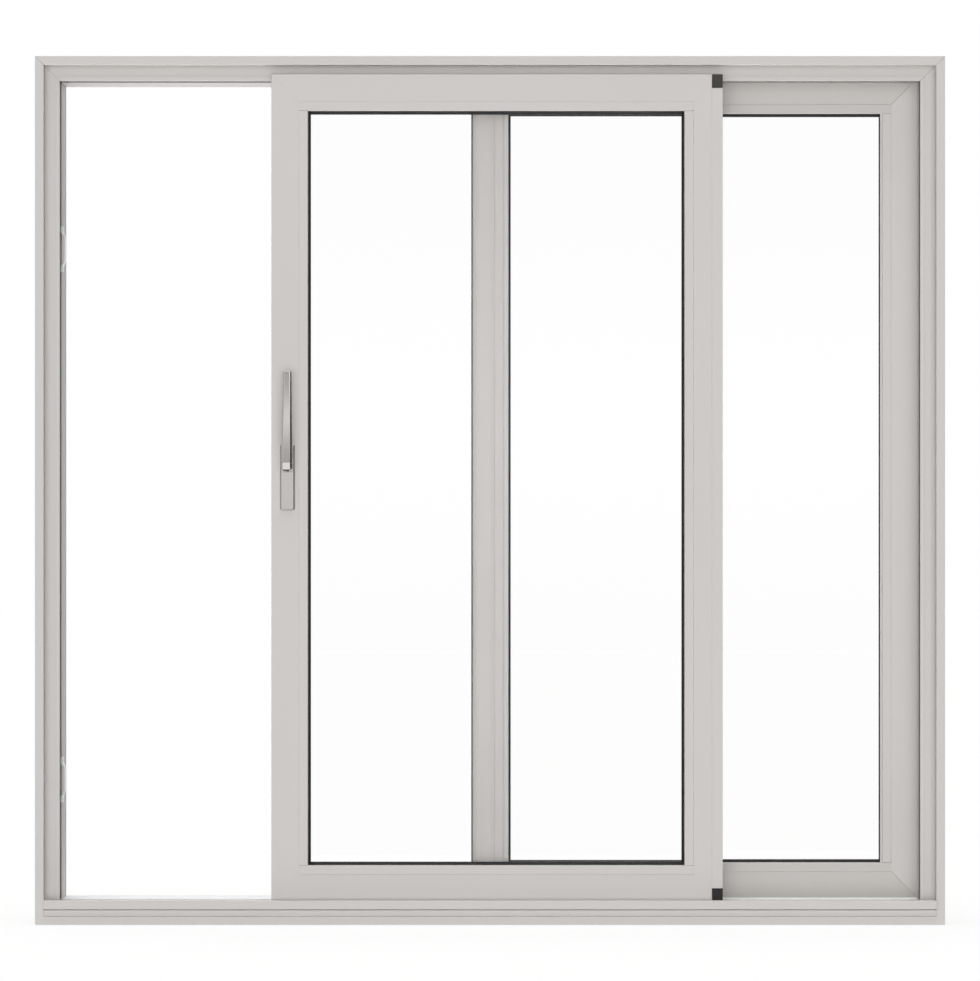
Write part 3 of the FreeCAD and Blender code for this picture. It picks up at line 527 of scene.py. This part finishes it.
def build_lever():
    low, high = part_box("handle_lever")
    centre = (low.x + high.x) / 2
    bottom = low.z + BOSS_BELOW
    height = high.z - bottom
    foot_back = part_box("handle_plate")[0].y - FOOT_TO_PLATE
    loops = []
    for above in lever_heights(height):
        section = lever_section(above, height, low.y, foot_back, centre)
        if above == FOOT_WIDTH:
            under = lever_section(above - JUST_BELOW, height, low.y, foot_back, centre)
            loops.append([(x, y, bottom + above) for x, y in under])
        loops.append([(x, y, bottom + above) for x, y in section])
    vertices, faces = loft(loops)
    return mesh_piece("lever_grip", vertices, faces, FINISHES["handle_metal"], "handle",
                      crease=18)


def build_lever_boss():
    """Turned boss that carries the lever on the plate."""
    low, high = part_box("handle_lever")
    plate_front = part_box("handle_plate")[0].y
    axis_x = (low.x + high.x) / 2
    axis_z = low.z + BOSS_RADIUS
    boss_back = plate_front - GAP_TO_PLATE
    boss_front = boss_back - BOSS_DEPTH
    turning = [
        (0.0, high.y), (NECK_RADIUS, high.y), (NECK_RADIUS, boss_back),
        (BOSS_RADIUS - BOSS_EDGE, boss_back), (BOSS_RADIUS, boss_back - BOSS_EDGE),
        (BOSS_RADIUS, boss_front + BOSS_EDGE), (BOSS_RADIUS - BOSS_EDGE, boss_front),
        (0.0, boss_front),
    ]
    loops = []
    for step in range(BOSS_SIDES):
        angle = 2 * math.pi * step / BOSS_SIDES
        loops.append([(axis_x + reach * math.cos(angle), y, axis_z + reach * math.sin(angle))
                      for reach, y in turning])
    count = len(turning)
    vertices = [point for loop in loops for point in loop]
    faces = []
    for step in range(BOSS_SIDES):
        following = (step + 1) % BOSS_SIDES
        for row in range(count - 1):
            faces.append((step * count + row, step * count + row + 1,
                          following * count + row + 1, following * count + row))
    mesh_piece("lever_boss", vertices, faces, FINISHES["handle_metal"], "handle",
               crease=35)


# Geometry trees
class Plan:
    """A geometry tree with named inputs, filled by calls as a shader sheet is."""

    def __init__(self, name, inputs):
        self.group = bpy.data.node_groups.new(name, "GeometryNodeTree")
        self.sockets = {}
        for label, (kind, value) in inputs.items():
            socket = self.group.interface.new_socket(label, in_out="INPUT", socket_type=kind)
            socket.default_value = value
            self.sockets[label] = socket.identifier
        self.group.interface.new_socket("Geometry", in_out="OUTPUT", socket_type="NodeSocketGeometry")
        self.entry = self.group.nodes.new("NodeGroupInput")

    def given(self, label):
        return self.entry.outputs[label]

    def make(self, kind, settings=None, values=None, out=0):
        node = self.group.nodes.new(kind)
        for name, value in (settings or {}).items():
            setattr(node, name, value)
        for name, value in (values or {}).items():
            if isinstance(value, bpy.types.NodeSocket):
                self.group.links.new(value, node.inputs[name])
            else:
                node.inputs[name].default_value = value
        return node.outputs[out]

    def close(self, geometry, material):
        real = self.make("GeometryNodeRealizeInstances", values={"Geometry": geometry})
        dressed = self.make("GeometryNodeSetMaterial", values={"Geometry": real, "Material": material})
        leave = self.group.nodes.new("NodeGroupOutput")
        self.group.links.new(dressed, leave.inputs[0])


def run_plan(plan, name, material, body, runs):
    """Evaluates a tree once for each run of input values and joins the results on one body."""
    whole = bmesh.new()
    for values in runs:
        seed = bpy.data.meshes.new(name + "_seed")
        carrier = bpy.data.objects.new(name + "_carrier", seed)
        bpy.context.scene.collection.objects.link(carrier)
        modifier = carrier.modifiers.new(name, "NODES")
        modifier.node_group = plan.group
        for label, value in values.items():
            modifier[plan.sockets[label]] = value
        graph = bpy.context.evaluated_depsgraph_get()
        made = bpy.data.meshes.new_from_object(carrier.evaluated_get(graph), depsgraph=graph)
        whole.from_mesh(made)
        carrier.modifiers.clear()
        bpy.data.objects.remove(carrier)
        bpy.data.meshes.remove(made)
    mesh = bpy.data.meshes.new(name)
    whole.to_mesh(mesh)
    whole.free()
    mesh.materials.append(material)
    piece = bpy.data.objects.new(name, mesh)
    bpy.context.scene.collection.objects.link(piece)
    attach(piece, body)
    return piece


def screw_plan(material):
    """A row of countersunk screw heads, each with a cross recess, between two points."""
    plan = Plan("screw_row", {
        "Start": ("NodeSocketVector", (0.0, 0.0, 0.0)), "End": ("NodeSocketVector", (0.0, 0.0, 1.0)),
        "Count": ("NodeSocketInt", 2), "Turn": ("NodeSocketVector", (0.0, 0.0, 0.0)),
        "Radius": ("NodeSocketFloat", SCREW_RADIUS), "Rise": ("NodeSocketFloat", SCREW_RISE),
    })
    row = plan.make("GeometryNodeMeshLine", {"mode": "END_POINTS"}, {
        "Count": plan.given("Count"), "Start Location": plan.given("Start"), "Offset": plan.given("End")})
    disc = plan.make("GeometryNodeMeshCylinder", values={
        "Vertices": SCREW_SIDES, "Radius": plan.given("Radius"), "Depth": plan.given("Rise")})
    crown = plan.make("GeometryNodeMeshCone", values={
        "Vertices": SCREW_SIDES, "Radius Top": CROWN_RADIUS, "Radius Bottom": plan.given("Radius"),
        "Depth": CROWN_RISE})
    bar = plan.make("GeometryNodeMeshCube", values={
        "Size": (RECESS_LONG, RECESS_WIDE, RECESS_CUTTER)})
    cross_bar = plan.make("GeometryNodeMeshCube", values={
        "Size": (RECESS_WIDE, RECESS_LONG, RECESS_CUTTER)})
    raised = plan.make("GeometryNodeTransform", values={
        "Geometry": crown, "Translation": (0.0, 0.0, SCREW_RISE / 2)})
    recess_lift = (0.0, 0.0, SCREW_RISE + RECESS_LIFT)
    bars = [plan.make("GeometryNodeTransform", values={"Geometry": part, "Translation": recess_lift})
            for part in (bar, cross_bar)]
    head = plan.make("GeometryNodeMeshBoolean", {"operation": "UNION"}, {"Mesh 2": disc})
    join = head.node
    plan.group.links.new(raised, join.inputs["Mesh 2"])
    cut = plan.make("GeometryNodeMeshBoolean", {"operation": "DIFFERENCE"}, {"Mesh 1": head})
    for part in bars:
        plan.group.links.new(part, cut.node.inputs["Mesh 2"])
    placed = plan.make("GeometryNodeInstanceOnPoints", values={
        "Points": row, "Instance": cut, "Rotation": plan.given("Turn")})
    plan.close(placed, material)
    return plan


FACING = {"right": (0.0, QUARTER, 0.0), "left": (0.0, -QUARTER, 0.0), "front": (QUARTER, 0.0, 0.0),
          "down": (2 * QUARTER, 0.0, 0.0)}


def build_screws():
    plan = screw_plan(FINISHES["steel"])
    runs = []
    for keep in ("keep_lower", "keep_upper"):
        low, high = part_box(keep)
        tab, middle = high.x - KEEP_TAB, (low.y + high.y) / 2
        runs.append({"Start": (tab, middle, low.z + KEEP_INSET),
                     "End": (tab, middle, high.z - KEEP_INSET), "Count": 2, "Turn": FACING["right"]})
    run_plan(plan, "keep_screws", FINISHES["steel"], "frame", runs)
    low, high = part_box("lock_faceplate")
    middle = (low.y + high.y) / 2
    run_plan(plan, "faceplate_screws", FINISHES["steel"], "sash", [
        {"Start": (low.x, middle, low.z + PLATE_INSET), "End": (low.x, middle, high.z - PLATE_INSET),
         "Count": PLATE_SCREWS, "Turn": FACING["left"]}])


def pile_plan(material):
    """A weather strip: a thin core with two staggered rows of tufts between two points."""
    plan = Plan("pile_strip", {
        "Start": ("NodeSocketVector", (0.0, 0.0, 0.0)), "End": ("NodeSocketVector", (0.0, 0.0, 1.0)),
        "Count": ("NodeSocketInt", 100), "Turn": ("NodeSocketVector", (0.0, 0.0, 0.0)),
        "Row Shift": ("NodeSocketVector", (0.0, 0.0, 0.0)),
        "Core Middle": ("NodeSocketVector", (0.0, 0.0, 0.0)),
        "Core Size": ("NodeSocketVector", (0.01, 0.01, 0.01)), "Seed": ("NodeSocketInt", 4),
    })
    tuft = plan.make("GeometryNodeMeshCone", {"fill_type": "NGON"}, {
        "Vertices": 4, "Side Segments": 1, "Radius Top": TUFT_RADIUS * TUFT_TAPER,
        "Radius Bottom": TUFT_RADIUS, "Depth": TUFT_LONG})
    row = plan.make("GeometryNodeMeshLine", {"mode": "END_POINTS"}, {
        "Count": plan.given("Count"), "Start Location": plan.given("Start"), "Offset": plan.given("End")})
    second = plan.make("GeometryNodeTransform", values={
        "Geometry": row, "Translation": plan.given("Row Shift")})
    rows = plan.make("GeometryNodeJoinGeometry", values={"Geometry": row})
    plan.group.links.new(second, rows.node.inputs["Geometry"])
    length = plan.make("FunctionNodeRandomValue", {"data_type": "FLOAT_VECTOR"}, {
        "Min": (0.9, 0.9, 0.9), "Max": (1.0, 1.0, 1.0), "Seed": plan.given("Seed")})
    tufts = plan.make("GeometryNodeInstanceOnPoints", values={
        "Points": rows, "Instance": tuft, "Rotation": plan.given("Turn"), "Scale": length})
    cube = plan.make("GeometryNodeMeshCube", values={"Size": plan.given("Core Size")})
    core = plan.make("GeometryNodeTransform", values={
        "Geometry": cube, "Translation": plan.given("Core Middle")})
    whole = plan.make("GeometryNodeJoinGeometry", values={"Geometry": tufts})
    plan.group.links.new(core, whole.node.inputs["Geometry"])
    plan.close(whole, material)
    return plan


def strip_run(start, end, points_to, turn):
    """Inputs of one strip from start to end along the pocket's bottom, its tufts pointing one way."""
    start, end, points_to = Vector(start), Vector(end), Vector(points_to)
    along = (end - start).normalized()
    rise = points_to * (TUFT_LONG / 2)
    forth = Vector((0.0, STRIP_THICK / 4, 0.0))
    middle = (start + end) / 2 + rise
    size = Vector(abs(part) for part in (end - start) + points_to * TUFT_LONG * CORE_SHARE)
    size.y = STRIP_THICK / 2
    return {
        "Start": tuple(start - forth), "End": tuple(end - forth),
        "Count": int((end - start).length / TUFT_PITCH), "Turn": turn,
        "Row Shift": tuple(2 * forth + along * TUFT_PITCH / 2),
        "Core Middle": tuple(middle), "Core Size": tuple(size),
    }


def build_pile_strips():
    """Pile strips at the back of the pocket that jambs and head share. Keeps interrupt them."""
    plan = pile_plan(PILE)
    left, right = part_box("jamb_left")[1].x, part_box("jamb_right")[0].x
    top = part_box("head")[0].z
    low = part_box("threshold_nosing")[1].z
    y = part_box("jamb_left")[0].y + STRIP_BACK - STRIP_THICK / 2
    keeps = [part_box(name) for name in ("keep_lower", "keep_upper")]
    levels = [low]
    for keep_low, keep_high in keeps:
        levels += [keep_low.z - KEEP_MARGIN, keep_high.z + KEEP_MARGIN]
    levels.append(top)
    runs = [strip_run((left - POCKET_DEEP, y, start), (left - POCKET_DEEP, y, end), (1, 0, 0),
                      FACING["right"])
            for start, end in zip(levels[::2], levels[1::2])]
    runs.append(strip_run((right + POCKET_DEEP, y, low), (right + POCKET_DEEP, y, top), (-1, 0, 0),
                          FACING["left"]))
    runs.append(strip_run((left, y, top + POCKET_DEEP), (right, y, top + POCKET_DEEP), (0, 0, -1),
                          FACING["down"]))
    run_plan(plan, "pocket_pile", PILE, "frame", runs)


def build_foot_highlight_bead():
    """Quarter-round bead between the threshold and the fixed panel's face, from stile to jamb, whose pale
    tone paints the highlight of the lit threshold there.
    """
    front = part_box("fixed_rail_bottom")[0].y
    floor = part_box("threshold_tread")[1].z
    ends = (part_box("fixed_stile_left")[1].x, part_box("jamb_right")[0].x)
    section = [(front, floor)]
    for step in range(BEAD_STEPS + 1):
        turn = QUARTER * step / BEAD_STEPS
        section.append((front - BEAD_OUT * math.cos(turn), floor + BEAD_HIGH * math.sin(turn)))
    vertices, faces = loft([[(x, y, z) for y, z in section] for x in ends])
    mesh_piece("foot_highlight_bead", vertices, faces, PALE_BEAD_HIGHLIGHT, "frame", crease=35)


# Camera, light and backdrop
def build_camera():
    camera = bpy.data.cameras.new("front_camera")
    camera.sensor_width = SENSOR
    camera.lens = SENSOR * VIEW_DISTANCE / VIEW_SPAN
    camera.clip_end = SIGHT_END
    holder = bpy.data.objects.new("front_camera", camera)
    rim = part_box("jamb_left")[0].y
    holder.location = (0.0, rim - VIEW_DISTANCE, VIEW_HEIGHT)
    holder.rotation_euler = (QUARTER, 0.0, 0.0)
    bpy.context.scene.collection.objects.link(holder)
    bpy.context.scene.camera = holder


def sees_backdrop(sheet):
    """1 for the rays that show the backdrop: seen directly, mirrored or through glass."""
    path = sheet.make("ShaderNodeLightPath", out="Is Camera Ray")
    return path.at_least(path.other("Is Glossy Ray")).at_least(path.other("Is Transmission Ray"))


def build_world():
    world = bpy.data.worlds.new("white_studio")
    bpy.context.scene.world = world
    world.use_nodes = True
    sheet = Sheet(world.node_tree)
    direction = sheet.make("ShaderNodeTexCoord", out="Generated")
    axes = sheet.make("ShaderNodeSeparateXYZ", values={0: direction}, out="X")
    strength = 0.0
    for axis, (low_side, high_side, focus) in LIGHT.items():
        along = axes.other(axis)
        share = along.size() ** focus
        side = along.above(0.0)
        strength = strength + share * (side * (high_side - low_side) + low_side)
    lit = sheet.make("ShaderNodeBackground", values={"Color": WHITE, "Strength": strength})
    white = sheet.make("ShaderNodeBackground", values={"Color": WHITE, "Strength": 1.0})
    both = sheet.make("ShaderNodeMixShader", values={0: sees_backdrop(sheet), 1: lit, 2: white})
    sheet.make("ShaderNodeOutputWorld", values={"Surface": both})


def stage_sheet(name, corners):
    """A flat piece of the stage with one material of its own name, and that material's sheet."""
    mesh = bpy.data.meshes.new(name)
    mesh.from_pydata(corners, [], [(0, 1, 2, 3)])
    piece = bpy.data.objects.new(name, mesh)
    bpy.context.scene.collection.objects.link(piece)
    material = bpy.data.materials.new(name)
    material.use_nodes = True
    mesh.materials.append(material)
    return piece, Sheet(material.node_tree)


def build_floor():
    """Pale floor that keeps a faint shadow of the door on the white."""
    half = FLOOR_SIZE / 2
    floor, sheet = stage_sheet("floor", [
        (-half, -half, 0), (half, -half, 0), (half, half, 0), (-half, half, 0)])
    matt = sheet.make("ShaderNodeBsdfDiffuse", values={"Color": FLOOR_TONE})
    white = sheet.make("ShaderNodeEmission", values={"Color": WHITE, "Strength": 1.0})
    share = sees_backdrop(sheet) * (1.0 - FLOOR_SHADE)
    both = sheet.make("ShaderNodeMixShader", values={0: share, 1: matt, 2: white})
    sheet.make("ShaderNodeOutputMaterial", values={"Surface": both})
    floor.visible_diffuse = floor.visible_shadow = False


def build_card(name, corners, tones):
    """A studio card that only shows in what shines: it shapes the reflections in metal. Its
    tones are pairs of a height and a grey."""
    card, sheet = stage_sheet(name, corners)
    height = sheet.make("ShaderNodeSeparateXYZ", values={0: sheet.place()}, out="Z")
    stops = [(level / CARD_TOP, (tone, tone, tone, 1)) for level, tone in tones]
    shade = sheet.make("ShaderNodeValToRGB", {"stops": stops}, {"Fac": height / CARD_TOP})
    glow = sheet.make("ShaderNodeEmission", values={"Color": shade, "Strength": 1.0})
    sheet.make("ShaderNodeOutputMaterial", values={"Surface": glow})
    card.visible_camera = card.visible_diffuse = False
    card.visible_shadow = card.visible_transmission = False


def build_cards():
    """Dark and grey cards at the sides, in front and on the floor round a white middle."""
    def side(x):
        return [(x, -SIDE_CARD_REACH, CARD_LOW), (x, 0.0, CARD_LOW), (x, 0.0, SIDE_CARD_TOP),
                (x, -SIDE_CARD_REACH, SIDE_CARD_TOP)]

    def lying(left, right, near, far):
        return [(left, near, CARD_LOW), (right, near, CARD_LOW), (right, far, CARD_LOW),
                (left, far, CARD_LOW)]

    def even(tone):
        return [(0.0, tone), (CARD_TOP, tone)]

    half, front = FRONT_CARD_HALF, FRONT_CARD_Y
    facing = [(-half, front, CARD_LOW), (half, front, CARD_LOW), (half, front, CARD_TOP),
              (-half, front, CARD_TOP)]
    build_card("right_card", side(SIDE_CARD_X), even(0.08))
    build_card("left_card", side(-SIDE_CARD_X), even(0.55))
    build_card("front_card", facing, [(0.0, 0.35), (0.5, 0.5), (1.3, 1.0), (2.1, 0.5), (2.8, 0.4)])
    build_card("near_floor_card", lying(-1.4, 1.4, -0.62, -0.16), even(0.06))
    build_card("right_floor_card", lying(1.2, SIDE_CARD_X, -1.5, 0.0), even(0.02))
    build_card("far_floor_card", lying(-half, half, front, -2.2), even(0.45))


build_camera()
build_world()
build_floor()
build_cards()
bpy.context.scene.view_settings.view_transform = "Standard"
dress_nodes()
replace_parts(build_lever(), "handle_lever")
build_lever_boss()
build_screws()
build_pile_strips()
build_foot_highlight_bead()
